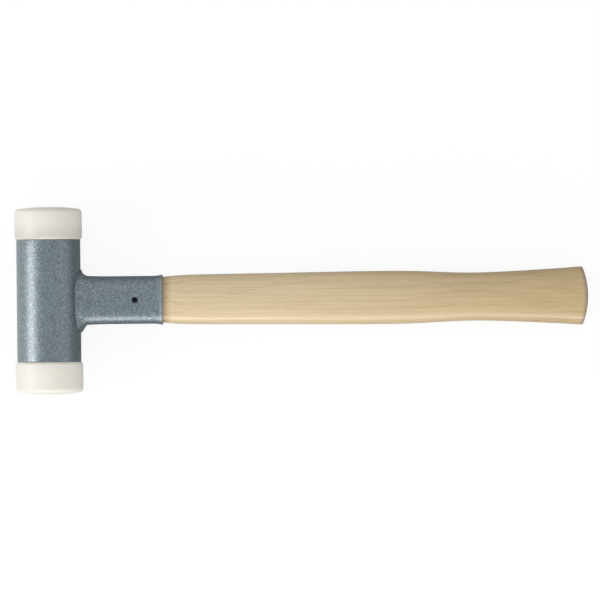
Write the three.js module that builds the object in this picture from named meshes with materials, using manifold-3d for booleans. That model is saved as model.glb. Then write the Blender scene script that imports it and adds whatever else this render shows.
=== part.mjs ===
// Dead blow hammer: a painted steel tube with a nylon face pressed into each end and loose shot
// shut in between, and a hickory handle pinned in a flattened steel socket welded to the tube.
// Millimetres, +Z up. The hammer lies on its broad side: +X runs along the handle from head to
// butt, +Y along the head, and the origin is on the ground under the middle of the whole.

import * as THREE from "three";
import { ParametricGeometry } from "three/addons/geometries/ParametricGeometry.js";
import { mergeVertices } from "three/addons/utils/BufferGeometryUtils.js";
import Module from "manifold-3d";

// Fits
const clearance = 0.3; // between pieces that seat in or on each other
const pinFit = 0.1; // all round the spring pin in its holes

// Head tube, measured along and across the head
const tubeDiameter = 38;
const tubeLength = 72.4;
const tubeWall = 3;
const tubeEdge = 0.6; // chamfer of its outer ends

// Nylon faces
const faceDiameter = 40;
const faceHeight = 19.3; // from the end of the tube to the top of the crown
const faceCrown = 1.4; // rise of the crown from rim to middle
const faceLand = 8; // diameter of the flat land in the middle of the crown
const faceRim = 2.6; // radius of the rounded rim
const faceHeel = 1.2; // length of the taper down to the tube's diameter
const spigotLength = 14; // reach into the tube
const spigotRibs = 3;
const spigotRibHeight = 0.5;
const spigotTip = 1; // chamfer of the spigot's end

// Shot chamber
const plateThickness = 2.5;
const plateLedge = 1.2; // width of the step in the tube that carries a plate
const plateEdge = 0.4;
const shotRing = 10; // pellets round the chamber's wall, which set their size
const shotLayers = 3;

// Handle socket: an oval sleeve, its sizes outside and clear of its two ends
const socketWidth = 28.4;
const socketThickness = 18.4;
const socketWall = 1.5;
const socketLength = 48.7; // from the tube's side to the rim of the mouth
const socketFoot = 0.4; // how much wider each side is at the tube
const socketFootLength = 17;
const mouthFlare = 0.8; // how much wider each side is at the rim
const mouthLength = 6;
const mouthWall = 1.1; // wall at the rim
const weldLeg = 3.8; // along the socket, and out along the tube at the narrow sides
const weldFront = 1.1; // out along the tube at the broad sides
const weldHollow = 0.3; // how far the bead's face keeps from its root, as a share of its leg

// Spring pin across the socket
const pinDiameter = 3.5;
const pinWall = 0.75;
const pinSlot = 0.8;
const pinSetback = 16.4; // from the rim of the mouth
const pinRecess = 0.5; // how far its ends stay below the socket's surface

// Handle: each station has its run from the station before, the first from the rim of the mouth,
// and the handle's full width and thickness there. The run up to the belly is what the others leave
const handleLength = 252.3; // from the rim of the mouth to the middle of the butt's end
const shoulder = { run: 16.3, width: 29.3, thickness: 19.4 };
const shank = { run: 46, width: 30.3, thickness: 20.4 };
const belly = { width: 31.5, thickness: 21.6 };
const waist = { run: 50, width: 28.6, thickness: 20 };
const butt = { run: 62.3, width: 34.5, thickness: 24 };
const buttEdge = 1; // bevel round the butt's end
const buttRise = 0.7; // from the bevel to the middle of the end
const buttCrown = 2.4; // how much further back the end lies at its narrow sides
const tenonGap = 1.5; // between the tenon's end and the tube
const tenonTip = 1.5; // chamfer of the tenon's end

// Facets
const roundSides = 40;
const ovalSides = 36;
const ovalPower = 2.3; // 2 would be an ellipse: more is flatter on the broad sides
const holeSides = 20;
const arcSteps = 3;
const outlineSteps = 4; // between two stations of the handle
const weldSteps = 5;

const tubeRadius = tubeDiameter / 2;
const boreRadius = tubeRadius - tubeWall;
const chamberRadius = boreRadius - plateLedge;
const tubeEnd = tubeLength / 2;
const spigotEnd = tubeEnd - spigotLength;
const plateTop = spigotEnd - clearance;
const plateFoot = plateTop - plateThickness;
const ledge = plateFoot - clearance;

// The outer ring's pellets stand a clearance apart and a clearance from the chamber's wall
const ringSine = Math.sin(Math.PI / shotRing);
const shotRadius = (chamberRadius - clearance - clearance / 2 / ringSine) / (1 + 1 / ringSine);
const shotPitch = 2 * shotRadius + clearance;

// Half the oval's width less half its thickness, kept through the walls of socket and tenon
const flattening = (socketWidth - socketThickness) / 2;
const socketReach = tubeRadius + socketLength; // from the head's axis to the rim
const socketHalf = socketWidth / 2;
const footHalf = socketHalf + socketFoot;
const rimHalf = socketHalf + mouthFlare;
const mouthStart = socketReach - mouthLength;
const pinReach = socketReach - pinSetback;
const holeRadius = pinDiameter / 2 + pinFit;
const otherRuns = shoulder.run + shank.run + waist.run + butt.run + buttEdge + buttRise;
const gripStops = [shoulder, shank, { ...belly, run: handleLength - otherRuns }, waist, butt];
const handleReach = socketReach + handleLength;
const headRadius = Math.max(tubeRadius, faceDiameter / 2);

const hammertone = new THREE.MeshStandardMaterial({ color: 0x6d7c82, roughness: 0.4, metalness: 0.5 });
const nylon = new THREE.MeshStandardMaterial({ color: 0xeae6de, roughness: 0.5, metalness: 0 });
const hickory = new THREE.MeshStandardMaterial({ color: 0xd5c19a, roughness: 0.55, metalness: 0 });
const steel = new THREE.MeshStandardMaterial({ color: 0x9a9da0, roughness: 0.35, metalness: 1 });
const springSteel = new THREE.MeshStandardMaterial({ color: 0x3a3a3c, roughness: 0.45, metalness: 1 });

const wasm = await Module();
wasm.setup();

const hammer = new THREE.Group();
const laid = new THREE.Group(); // its origin is where the handle's axis crosses the head's
laid.position.set((headRadius - handleReach) / 2, 0, headRadius);
hammer.add(laid);

function addPiece(name, geometry, material) {
  const mesh = new THREE.Mesh(geometry, material.clone());
  mesh.name = name;
  laid.add(mesh);
  return mesh;
}

// Booleans

function toSolid(geometry) {
  const bare = geometry.clone();
  bare.deleteAttribute("normal");
  bare.deleteAttribute("uv");
  const merged = mergeVertices(bare, 1e-4);
  return new wasm.Manifold(new wasm.Mesh({
    numProp: 3,
    vertProperties: new Float32Array(merged.attributes.position.array),
    triVerts: new Uint32Array(merged.index.array),
  }));
}

function toGeometry(solid) {
  const mesh = solid.getMesh();
  const geometry = new THREE.BufferGeometry();
  geometry.setAttribute("position", new THREE.BufferAttribute(mesh.vertProperties, mesh.numProp));
  geometry.setIndex(new THREE.BufferAttribute(mesh.triVerts, 1));
  geometry.computeVertexNormals();
  return geometry;
}

function cut(geometry, ...tools) {
  return toGeometry(tools.reduce((solid, tool) => solid.subtract(toSolid(tool)), toSolid(geometry)));
}

// Turned pieces, around the head's axis

function turned(points) {
  const outline = points.map(([radius, height]) => new THREE.Vector2(radius, height));
  return new THREE.LatheGeometry(outline, roundSides);
}

function tubeGeometry() {
  const half = [
    [tubeRadius, 0],
    [tubeRadius, tubeEnd - tubeEdge],
    [tubeRadius - tubeEdge, tubeEnd],
    [boreRadius, tubeEnd],
    [boreRadius, ledge],
    [chamberRadius, ledge],
  ];
  const lower = half.slice(1).reverse().map(([radius, height]) => [radius, -height]);
  return turned([...half, ...lower, half[0]]);
}

function plateGeometry() {
  const radius = boreRadius - clearance;
  const half = plateThickness / 2;
  return turned([
    [0, -half],
    [radius - plateEdge, -half],
    [radius, plateEdge - half],
    [radius, half - plateEdge],
    [radius - plateEdge, half],
    [0, half],
  ]);
}

// A ribbed spigot under a crowned disc, with height 0 at the end of the tube
function faceGeometry() {
  const radius = faceDiameter / 2;
  const ribRadius = boreRadius - clearance;
  const core = ribRadius - spigotRibHeight;
  const outline = new THREE.Path();
  outline.moveTo(0, -spigotLength);
  outline.lineTo(core - spigotTip, -spigotLength);
  outline.lineTo(core, spigotTip - spigotLength);

  const pitch = (spigotLength - spigotTip) / spigotRibs;
  for (let rib = 0; rib < spigotRibs; rib += 1) {
    const start = spigotTip - spigotLength + pitch * rib;
    outline.lineTo(ribRadius, start + pitch / 2);
    outline.lineTo(core, start + pitch / 2);
    outline.lineTo(core, start + pitch);
  }

  outline.lineTo(core, clearance);
  outline.lineTo(Math.min(tubeRadius, radius), clearance);
  outline.lineTo(radius, clearance + faceHeel);

  // The crown's arc is level at the edge of the land, and the rim's arc is tangent to it
  const land = faceLand / 2;
  const crownRadius = ((radius - land) ** 2 + faceCrown ** 2) / (2 * faceCrown);
  const crownCentre = faceHeight - crownRadius;
  const rimCentre = radius - faceRim;
  const rise = Math.sqrt((crownRadius - faceRim) ** 2 - (rimCentre - land) ** 2);
  const meeting = Math.atan2(rise, rimCentre - land);
  outline.absarc(rimCentre, crownCentre + rise, faceRim, 0, meeting);
  outline.absarc(land, crownCentre, crownRadius, meeting, Math.PI / 2);
  outline.lineTo(0, faceHeight);
  return turned(outline.getPoints(arcSteps).map(({ x, y }) => [x, y]));
}

// Oval pieces, around the handle's axis

// The point at an angle round an oval of unit size, flattened on its broad sides
function ovalPoint(angle) {
  const soften = (value) => Math.sign(value) * Math.abs(value) ** (2 / ovalPower);
  return { across: soften(Math.cos(angle)), deep: soften(Math.sin(angle)) };
}

// Turns the half widths of the stations around the axis, then flattens each ring to its thickness
// and bends its narrow sides back by its setback
function ovalTurning(stations) {
  const outline = stations.map(({ reach, half }) => new THREE.Vector2(half, reach));
  const geometry = new THREE.LatheGeometry(outline, ovalSides);
  const place = geometry.attributes.position;
  for (let i = 0; i < place.count; i += 1) {
    const { reach, half, deepHalf, setback = 0 } = stations[i % stations.length];
    const side = Math.floor(i / stations.length) % ovalSides;
    const { across, deep } = ovalPoint((side / ovalSides) * 2 * Math.PI);
    place.setXYZ(i, reach - setback * across ** 2, half * across, deepHalf * deep);
  }
  return geometry;
}

function sleeveStation(reach, half) {
  return { reach, half, deepHalf: half - flattening };
}

// A side of the socket that runs straight and then eases out to its rim
function flaredStations(straight, rim) {
  const easing = new THREE.QuadraticBezierCurve(
    new THREE.Vector2(mouthStart, straight),
    new THREE.Vector2(mouthStart + mouthLength / 2, straight),
    new THREE.Vector2(socketReach, rim),
  );
  return easing.getPoints(arcSteps).map(({ x, y }) => sleeveStation(x, y));
}

function socketBlank() {
  const bore = socketHalf - socketWall;
  const root = sleeveStation(0, footHalf);
  return ovalTurning([
    root,
    sleeveStation(tubeRadius, footHalf),
    sleeveStation(tubeRadius + socketFootLength, socketHalf),
    ...flaredStations(socketHalf, rimHalf),
    ...flaredStations(bore, rimHalf - mouthWall).reverse(),
    sleeveStation(0, bore),
    root,
  ]);
}

// The handle's grip, through its stations on smooth curves of half width and half thickness
function gripStations(rim) {
  let reach = rim.reach;
  const stops = [rim];
  for (const { run, width, thickness } of gripStops) {
    reach += run;
    stops.push({ reach, half: width / 2, deepHalf: thickness / 2 });
  }
  const steps = gripStops.length * outlineSteps;
  const smoothed = (side) => {
    const points = stops.map((stop) => new THREE.Vector2(stop.reach, stop[side]));
    return new THREE.SplineCurve(points).getPoints(steps);
  };
  const depths = smoothed("deepHalf");
  const grip = smoothed("half").map(({ x, y }, i) => ({ reach: x, half: y, deepHalf: depths[i].y }));
  grip.at(-1).setback = buttCrown;
  return grip;
}

// The butt's end: its rings keep the butt's oval, and it is crowned as a parabola, most across its width
function endStations() {
  const steps = arcSteps * 2;
  return Array.from({ length: steps + 1 }, (_, step) => {
    const spread = Math.cos((step / steps) * (Math.PI / 2));
    const half = step < steps ? (butt.width / 2 - buttEdge) * spread : 0;
    return {
      reach: handleReach - buttRise * spread ** 2,
      half,
      deepHalf: (butt.thickness / 2 - buttEdge) * spread,
      setback: buttCrown * ((2 * half) / butt.width) ** 2,
    };
  });
}

function handleBlank() {
  const tip = tubeRadius + tenonGap;
  const tenon = socketHalf - socketWall - clearance;
  const mouth = flaredStations(tenon, rimHalf - mouthWall - clearance);
  const rim = mouth.pop();
  return ovalTurning([
    { reach: tip, half: 0, deepHalf: 0 },
    sleeveStation(tip, tenon - tenonTip),
    sleeveStation(tip + tenonTip, tenon),
    ...mouth,
    ...gripStations(rim),
    ...endStations(),
  ]);
}

// The bead goes round the socket's oval: its section is a hollow fillet that stands on the tube, as a
// share of its two legs
function weldGeometry() {
  const fillet = new THREE.QuadraticBezierCurve(
    new THREE.Vector2(1, 0),
    new THREE.Vector2(weldHollow, weldHollow),
    new THREE.Vector2(0, 1),
  );
  const section = [...fillet.getPoints(weldSteps), new THREE.Vector2(0, 0)];
  return new ParametricGeometry((u, v, target) => {
    const { across, deep } = ovalPoint(u * 2 * Math.PI);
    const share = section[Math.round(v * section.length) % section.length];
    const out = clearance + share.x * THREE.MathUtils.lerp(weldFront, weldLeg, across ** 2);
    const up = clearance + share.y * weldLeg;
    const depth = (footHalf - flattening + out) * deep;
    const saddle = Math.sqrt(tubeRadius ** 2 - depth ** 2);
    target.set(saddle + up, (footHalf + out) * across, depth);
  }, ovalSides, section.length);
}

// A cylinder along +Z that passes through the socket and the tenon
function pinHole() {
  const hole = new THREE.CylinderGeometry(holeRadius, holeRadius, socketThickness * 2, holeSides);
  return hole.rotateX(Math.PI / 2).translate(pinReach, 0, 0);
}

// A rolled strip: most of a ring, with its slot towards the butt
function pinGeometry() {
  const outer = pinDiameter / 2;
  const inner = outer - pinWall;
  const outerGap = Math.asin(pinSlot / 2 / outer);
  const innerGap = Math.asin(pinSlot / 2 / inner);
  const ring = new THREE.Shape();
  ring.absarc(0, 0, outer, outerGap, 2 * Math.PI - outerGap, false);
  ring.absarc(0, 0, inner, 2 * Math.PI - innerGap, innerGap, true);
  const length = socketThickness - 2 * pinRecess;
  const pin = new THREE.ExtrudeGeometry(ring, {
    depth: length,
    bevelEnabled: false,
    curveSegments: holeSides / 2,
  });
  return pin.translate(pinReach, 0, -length / 2);
}

// The shot lies in rings, from the chamber's wall inwards, in layers from the lower plate up
function shotPlaces() {
  const places = [];
  for (let layer = 0; layer < shotLayers; layer += 1) {
    const height = clearance + shotRadius + shotPitch * layer - plateFoot;
    let count = shotRing;
    for (let ring = chamberRadius - clearance - shotRadius; ring > shotPitch / 2; ring -= shotPitch) {
      for (let i = 0; i < count; i += 1) {
        const angle = ((i + layer / 2) / count) * 2 * Math.PI;
        places.push([ring * Math.cos(angle), height, ring * Math.sin(angle)]);
      }
      count = Math.floor(Math.PI / Math.asin(shotPitch / 2 / (ring - shotPitch)));
    }
  }
  return places;
}

addPiece("head_tube", tubeGeometry(), hammertone);

const upperFace = addPiece("upper_face", faceGeometry(), nylon);
upperFace.position.y = tubeEnd;
const lowerFace = addPiece("lower_face", faceGeometry(), nylon);
lowerFace.position.y = -tubeEnd;
lowerFace.rotation.z = Math.PI;

const upperPlate = addPiece("upper_plate", plateGeometry(), steel);
upperPlate.position.y = plateFoot + plateThickness / 2;
const lowerPlate = addPiece("lower_plate", plateGeometry(), steel);
lowerPlate.position.y = -upperPlate.position.y;

shotPlaces().forEach((place, i) => {
  const name = `shot_${String(i + 1).padStart(2, "0")}`;
  const pellet = addPiece(name, new THREE.IcosahedronGeometry(shotRadius, 1), steel);
  pellet.position.set(...place);
});

const saddleCut = new THREE.CylinderGeometry(
  tubeRadius + clearance, tubeRadius + clearance, tubeLength, roundSides);
addPiece("handle_socket", cut(socketBlank(), saddleCut, pinHole()), hammertone);
addPiece("socket_weld", weldGeometry(), hammertone);
addPiece("roll_pin", pinGeometry(), springSteel);
addPiece("handle", cut(handleBlank(), pinHole()), hickory);

export default hammer;
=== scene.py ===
"""Dead blow hammer: the finished surfaces of its painted head, nylon faces and hickory handle.

Metres, +Z up. The head lies along Y and the handle along X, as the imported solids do, and each
piece has its place in its mesh.
"""

import math

import bmesh
import bpy
import numpy as np
from bpy.props import FloatProperty, FloatVectorProperty, IntProperty, PointerProperty
from bpy.types import NodeSocket, Operator, Panel, PropertyGroup
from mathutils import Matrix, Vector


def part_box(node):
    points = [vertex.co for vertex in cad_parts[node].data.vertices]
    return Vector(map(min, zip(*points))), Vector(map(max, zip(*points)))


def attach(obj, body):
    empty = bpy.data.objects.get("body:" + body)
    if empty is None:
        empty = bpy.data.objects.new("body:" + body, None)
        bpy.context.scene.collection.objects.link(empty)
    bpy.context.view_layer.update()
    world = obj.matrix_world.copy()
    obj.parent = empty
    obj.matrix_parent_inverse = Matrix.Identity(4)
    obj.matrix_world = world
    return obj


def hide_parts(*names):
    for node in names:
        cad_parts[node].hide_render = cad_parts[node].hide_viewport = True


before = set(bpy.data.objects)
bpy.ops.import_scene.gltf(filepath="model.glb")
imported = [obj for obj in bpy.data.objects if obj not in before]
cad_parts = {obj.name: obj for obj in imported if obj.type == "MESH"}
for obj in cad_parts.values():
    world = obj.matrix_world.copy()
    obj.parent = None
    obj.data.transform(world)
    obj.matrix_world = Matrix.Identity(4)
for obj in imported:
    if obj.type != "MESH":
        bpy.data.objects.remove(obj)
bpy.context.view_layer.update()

bl_info = {
    "name": "Dead blow hammer",
    "version": (1, 0, 0),
    "blender": (4, 5, 0),
    "location": "3D View > Sidebar > Hammer",
    "description": "Builds the finished surfaces and the studio of a dead blow hammer",
    "category": "Add Mesh",
}

MM = 0.001

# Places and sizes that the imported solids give
TUBE_LOW, TUBE_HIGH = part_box("head_tube")
FACE_LOW, FACE_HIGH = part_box("upper_face")
PLATE_LOW, PLATE_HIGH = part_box("upper_plate")
SOCKET_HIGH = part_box("handle_socket")[1]
HANDLE_LOW, HANDLE_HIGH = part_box("handle")
PIN_LOW, PIN_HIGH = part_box("roll_pin")
PELLETS = sorted(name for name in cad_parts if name.startswith("shot_"))

HEAD_X = (TUBE_LOW.x + TUBE_HIGH.x) / 2
AXIS_Z = (TUBE_LOW.z + TUBE_HIGH.z) / 2
TUBE_RADIUS = (TUBE_HIGH.x - TUBE_LOW.x) / 2
TUBE_END = TUBE_HIGH.y
FACE_RADIUS = (FACE_HIGH.x - FACE_LOW.x) / 2
PLATE_RADIUS = (PLATE_HIGH.x - PLATE_LOW.x) / 2
RIM_X = SOCKET_HIGH.x
RIM_HALF = SOCKET_HIGH.y
RIM_DEEP = SOCKET_HIGH.z - AXIS_Z
FLATTENING = RIM_HALF - RIM_DEEP
PIN_X = (PIN_LOW.x + PIN_HIGH.x) / 2
PIN_RADIUS = (PIN_HIGH.x - PIN_LOW.x) / 2
HEAD_ENDS = (("upper", 1), ("lower", -1))

# Steps of the meshes along their outlines
TUBE_STEPS = 40
ARC_STEPS = 14
BALL_SIDES = 28
BALL_STEPS = 16
HOLE_STEPS = 7
HOLE_EDGE_STEPS = 5
LIP_STEPS = 9
WELD_STEPS = 17
PIN_STEPS = 72
SHADE_PLUG_SIDES = 48
TENON_STEPS = 90
STATION_STEPS = 30
BUTT_STEPS = 26
BUTT_EDGE_STEPS = 8

# Rows along the socket, closer together at its mouth
SOCKET_SHARES = np.concatenate([np.linspace(0, 0.86, 70), np.linspace(0.865, 1, 24)])

# Waves that make the weld's legs uneven: share of a leg, waves round the foot and phase
WELD_WAVES = ((0.05, 3, 0.7), (0.05, 7, 2.1), (0.04, 13, 0.0))
WELD_RIPPLES = 26
INNER_HOLE_EDGE = 0.1 * MM
FLOOR_REACH = 30.0


def count(name, description, value, least):
    """A whole number that a user may change."""
    return IntProperty(name=name, description=description, default=value, min=least)


def number(name, description, value, **more):
    """A number that a user may change."""
    return FloatProperty(name=name, description=description, default=value, **more)


def numbers(name, description, values, **more):
    """A few numbers that a user may change together."""
    return FloatVectorProperty(name=name, description=description, default=values, size=len(values), **more)


def length(name, description, millimetres):
    """A size, written in millimetres and kept in metres."""
    return number(name, description, millimetres * MM, unit="LENGTH", precision=5)


def station(name, description, millimetres):
    """A station of the handle: its run, its width and its thickness."""
    return numbers(name, description, [value * MM for value in millimetres], unit="LENGTH", precision=5)


def watts(name, description, power):
    """A lamp's power, in watts."""
    return number(name, description + ", in watts", power, min=0)


def colour(name, description, red_green_blue):
    """A linear colour."""
    return numbers(name, description, red_green_blue, subtype="COLOR", min=0, max=1)


class HeadSizes(PropertyGroup):
    """Sizes of the tube, the nylon faces and the shot chamber"""

    wall: length("Tube wall", "Wall of the tube where a face plugs in", 3)
    ledge: length("Plate ledge", "Width of the step that carries a chamber plate", 1.2)
    tube_edge: length("Tube edge", "Round of the tube's outer ends", 0.4)
    gap: length("Fit", "Gap between a piece and the one that holds it", 0.3)
    seat: length("Face seat", "Gap between a face and the tube's end", 0.06)
    crown: length("Crown", "Rise of a face from its rim to its middle", 1.4)
    land: length("Land", "Diameter of the flat land in the middle of a face", 8)
    rim: length("Face rim", "Radius of a face's rounded rim", 2.6)
    heel: length("Face heel", "Length of a face's taper down to the tube", 1.2)
    rib: length("Spigot rib", "Height of a rib on a face's spigot", 0.5)
    rib_count: count("Spigot ribs", "Ribs on a face's spigot", 3, 1)
    tip: length("Spigot tip", "Chamfer of a spigot's end", 1)
    sides: count("Sides", "Facets round the head", 192, 24)


class SocketSizes(PropertyGroup):
    """Sizes of the oval socket, its weld and its spring pin"""

    flare: length("Mouth flare", "How much wider each side is at the rim", 0.8)
    mouth: length("Mouth length", "Length over which the mouth flares", 6)
    wall: length("Wall", "Wall of the straight part", 1.5)
    mouth_wall: length("Mouth wall", "Wall at the rim", 1.1)
    foot: length("Foot", "How much wider each side is at the tube", 0.4)
    foot_length: length("Foot length", "Length over which the foot narrows", 17)
    sink: length("Foot sink", "How far the foot is let into the weld metal", 0.6)
    weld_leg: length("Weld leg", "Leg of the weld along the socket", 3.8)
    weld_upper: length("Weld above", "Leg of the weld along the tube at the upper narrow side", 3.4)
    weld_lower: length("Weld below", "Leg of the weld along the tube at the lower narrow side", 4.6)
    weld_front: length("Weld at the front", "Leg of the weld along the tube at the broad sides", 0.6)
    weld_toe: length("Weld toe", "Height of the weld's blunt edge on the tube at the narrow sides", 0.7)
    weld_feather: length("Weld feather", "Height of that edge at the broad sides", 0.06)
    weld_ripple: length("Weld ripple", "Height of the ripples along the weld", 0.16)
    pin_fit: length("Pin fit", "Gap all round the pin in its hole", 0.1)
    pin_wall: length("Pin wall", "Thickness of the pin's rolled strip", 0.75)
    pin_slot: length("Pin slot", "Width of the pin's slot", 0.8)
    # Painted shade: a dark plug halfway down the pin's bore stands in for the shade deep inside it
    pin_shade_plug: length("Pin dirt", "Thickness of the dirt that closes the pin's bore halfway", 4)
    hole_edge: length("Hole edge", "Round of the pin hole's edge", 0.25)
    sides: count("Sides", "Facets round the socket", 192, 24)


class HandleSizes(PropertyGroup):
    """Sizes of the hickory handle"""

    shoulder: station("Shoulder", "Run from the socket's rim, width and thickness", (16.3, 29.3, 19.4))
    shank: station("Shank", "Run from the shoulder, width and thickness", (46, 30.3, 20.4))
    belly: station("Belly", "Run from the shank, width and thickness", (76, 31.5, 21.6))
    waist: station("Waist", "Run from the belly, width and thickness", (50, 28.6, 20))
    butt: station("Butt", "Run from the waist, width and thickness", (62.3, 34.5, 24))
    butt_edge: length("Butt edge", "Round between the butt's side and its end", 1)
    butt_rise: length("Butt rise", "Rise of the butt's end from its edge to its middle", 0.7)
    butt_crown: length("Butt crown", "How much further back the end lies at its narrow sides", 2.6)
    crown_run: length("Crown run", "Length of the grip that bends back with the butt's crown", 14)
    tip: length("Tenon tip", "Chamfer of the tenon's end", 1.5)
    oval: number("Oval power", "Power of the oval section: 2 is an ellipse", 2.3, min=2, max=4)
    sides: count("Sides", "Facets round the handle", 160, 24)


class FinishColours(PropertyGroup):
    """Base colours of the finishes"""

    paint: colour("Paint", "Blue-grey of the hammertone paint", (0.168, 0.282, 0.334))
    paint_dark: colour("Paint, hollows", "Paint in the hollows of its pattern", (0.02, 0.043, 0.058))
    # Painted highlight: paint lighter toward the socket's rim, where the flared mouth catches the light
    paint_rim_highlight: colour("Paint, worn", "Paint rubbed thin at the socket's rim", (0.26, 0.375, 0.41))
    paint_sheen: colour("Paint, sheen", "Tint of the paint's reflection at a slant", (0.2, 0.23, 0.25))
    nylon: colour("Nylon", "Off-white of the faces", (0.86, 0.832, 0.767))
    nylon_deep: colour("Nylon, clouds", "Warmer tone that clouds the nylon", (0.82, 0.78, 0.685))
    # Painted shade: the upper face is darker where it meets the tube
    nylon_heel_shade: colour("Nylon, soiled", "Upper face where it meets the tube", (0.69, 0.662, 0.6))
    hickory: colour("Hickory", "Pale wood between the growth lines", (0.772, 0.618, 0.388))
    hickory_line: colour("Hickory, lines", "Wood of the growth lines", (0.575, 0.42, 0.228))
    hickory_pore: colour("Hickory, pores", "Open pores along the grain", (0.38, 0.26, 0.13))
    # Partly end grain, partly painted shade: the butt's end faces away from the light
    hickory_end_grain_and_shade: colour("Hickory, end", "Tint of the end grain at the butt", (0.46, 0.44, 0.42))
    # Partly painted shade, partly the wood's tone: darker and warmer toward the butt
    hickory_butt_shade_and_tone: colour("Hickory, held", "Tint of the wood where a hand holds it", (0.79, 0.735, 0.61))
    # Painted shadow: the rim's shadow on the wood just past the socket
    hickory_rim_shadow: colour("Hickory, rim", "Tint where varnish gathers at the socket's rim", (0.66, 0.6, 0.5))
    steel: colour("Steel", "Bare steel of the plates and the shot", (0.56, 0.57, 0.58))
    spring: colour("Spring steel", "Blackened steel of the pin", (0.03, 0.034, 0.042))


class StudioSettings(PropertyGroup):
    """Camera, lamps and floor"""

    pixels: count("Picture", "Width of the square picture in pixels", 600, 1)
    pixels_per_mm: number("Scale", "Pixels of the picture for a millimetre of the hammer", 1.685)
    head_pixel: numbers("Head", "Pixel where the handle's axis crosses the head's", (48.8, 300.8))
    roll: number("Roll", "Turn of the hammer in the picture", math.radians(0.58), subtype="ANGLE")
    distance: number("Distance", "From the camera to the hammer", 3, unit="LENGTH")
    top: watts("Top lamp", "Power of the lamp overhead", 11.7)
    left: watts("Left lamp", "Power of the lamp on the head's side", 3.35)
    right: watts("Right lamp", "Power of the lamp past the butt", 0.85)
    near: watts("Near lamp", "Power of the lamp below the picture", 1.65)
    far: watts("Far lamp", "Power of the lamp above the picture", 1.1)
    ambient: number("Ambient", "Light from all round", 0.5)
    floor: colour("Floor", "Pale grey that the floor throws back", (0.45, 0.45, 0.45))
    floor_shaded: colour("Floor, shadow", "Floor under the shadow that is seen", (0.9, 0.9, 0.9))


# Meshes from arrays


class Skin:
    """Points and faces of one mesh, gathered as arrays of points and of point numbers."""

    def __init__(self):
        self.points = []
        self.quads = []
        self.triangles = []
        self.count = 0

    def put(self, points):
        """Adds an array of points and gives back their numbers in the same layout."""
        points = np.asarray(points, float)
        flat = points.reshape(-1, 3)
        numbers = self.count + np.arange(len(flat))
        self.points.append(flat)
        self.count += len(flat)
        return numbers.reshape(points.shape[:-1])

    def sheet(self, rows, around=True, along=False, windows=()):
        """Quads between neighbouring rows of numbers, which close round or along as asked.

        A window, as its first and last row and column, is left open.
        """
        across = np.roll(rows, -1, axis=1)
        upper = np.roll(rows, -1, axis=0)
        corner = np.roll(upper, -1, axis=1)
        quads = np.stack([rows, across, corner, upper], axis=-1)
        keep = np.ones(rows.shape, bool)
        keep[-1, :] &= along
        keep[:, -1] &= around
        for first_row, last_row, first_column, last_column in windows:
            keep[first_row:last_row, first_column:last_column] = False
        self.quads.append(quads[keep])

    def strip(self, one, other):
        """Quads between two closed rings of numbers."""
        self.quads.append(np.stack([one, np.roll(one, -1), np.roll(other, -1), other], axis=-1))

    def pole(self, point, ring):
        """A fan of triangles from a closed ring of numbers to one point."""
        tip = np.full(ring.shape, self.put(point))
        self.triangles.append(np.stack([tip, ring, np.roll(ring, -1)], axis=-1))

    def patch(self, loop):
        """One flat face on a closed loop of numbers."""
        centre = np.concatenate(self.points)[loop].mean(axis=0)
        self.pole(centre, loop)

    def finish(self, name, sharp_angle=40):
        """Makes the object, with its faces outwards and its edges past the angle kept sharp."""
        mesh = bpy.data.meshes.new(name)
        faces = [face for group in (self.quads, self.triangles) for part in group for face in part.tolist()]
        mesh.from_pydata(np.concatenate(self.points).tolist(), [], faces)
        shell = bmesh.new()
        shell.from_mesh(mesh)
        bmesh.ops.recalc_face_normals(shell, faces=shell.faces)
        shell.to_mesh(mesh)
        shell.free()
        mesh.shade_smooth()
        mesh.set_sharp_from_angle(angle=math.radians(sharp_angle))
        piece = bpy.data.objects.new(name, mesh)
        bpy.context.scene.collection.objects.link(piece)
        return piece


def dressed(piece, body, slot, material, *nodes):
    """Gives a piece its finish and seats it in the frame in place of its solids."""
    piece.data.materials.append(material)
    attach(piece, body)
    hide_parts(*nodes)


def smooth(share):
    """A share from 0 to 1 on the cubic that is level at both ends."""
    return share**2 * (3 - 2 * share)


def parabola(start, lean, end, share):
    """Places at a share of the way on the parabola whose tangents at both ends meet in lean."""
    return (1 - share) ** 2 * start + 2 * share * (1 - share) * lean + share**2 * end


def rounded(corners, steps=5):
    """An outline with rounded corners, from rows of (first, second, round).

    A corner's round is a parabola that leaves each side at the round's distance from the corner.
    """
    corners = np.asarray(corners, float)
    share = np.linspace(0, 1, steps)[:, None]
    outline = []
    for i, (*place, size) in enumerate(corners):
        place = np.array(place)
        if size == 0:
            outline.append(place[None])
            continue
        before = corners[i - 1, :2] - place
        after = corners[(i + 1) % len(corners), :2] - place
        start = place + before / np.linalg.norm(before) * size
        end = place + after / np.linalg.norm(after) * size
        outline.append(parabola(start, place, end, share))
    return np.concatenate(outline)


def arc(centre, radius, first, last, steps):
    """Points on a circle between two angles."""
    turn = np.linspace(first, last, steps)
    return np.stack([centre[0] + radius * np.cos(turn), centre[1] + radius * np.sin(turn)], axis=1)


def placed(along, across, up):
    """Points from arrays of X, Y and Z, each spread to the same layout."""
    return np.stack(np.broadcast_arrays(along, across, up), axis=-1)


def whole_turn(sides):
    """Even angles once round."""
    return np.arange(sides) * (2 * math.pi / sides)


def turned_rings(outline, sides):
    """Carries an outline of (radius, place along Y) round the head's axis."""
    turn = whole_turn(sides)
    radius, along = np.asarray(outline, float).T[:, :, None]
    return placed(HEAD_X + radius * np.sin(turn), along, AXIS_Z + radius * np.cos(turn))


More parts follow.
